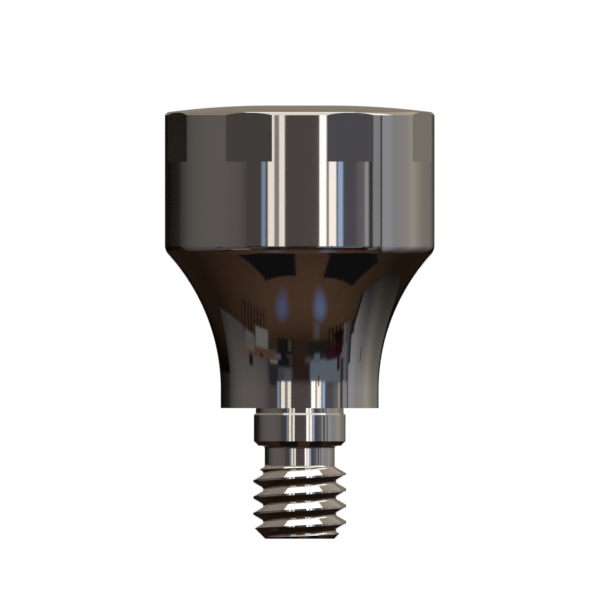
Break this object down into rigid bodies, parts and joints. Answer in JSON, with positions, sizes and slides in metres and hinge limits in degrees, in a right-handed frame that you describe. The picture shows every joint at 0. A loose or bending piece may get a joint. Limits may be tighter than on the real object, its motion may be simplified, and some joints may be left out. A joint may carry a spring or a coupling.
{
  "type": "magnetic dental abutment",
  "caption": "Screw-in abutment for a dental implant: a sealed disc magnet in a polished drum with wrench flats, on a flared stem with a pilot collar and a fine right-hand thread.",
  "frame": {"origin": "centre of the implant seat, the flat ring under the flare that closes on top of the implant", "axes": "+Z along the turning axis, from the implant towards the magnetic contact face; the thread runs down into -Z"},
  "size_m": [0.0058, 0.0058, 0.0093],
  "materials": {
    "titanium": "mirror-polished titanium alloy",
    "magnet": "ground samarium-cobalt, sealed inside"
  },
  "bodies": {
    "root": {"threaded_base": "titanium", "magnet_disc": "magnet", "magnet_cap": "titanium"}
  },
  "joints": []
}
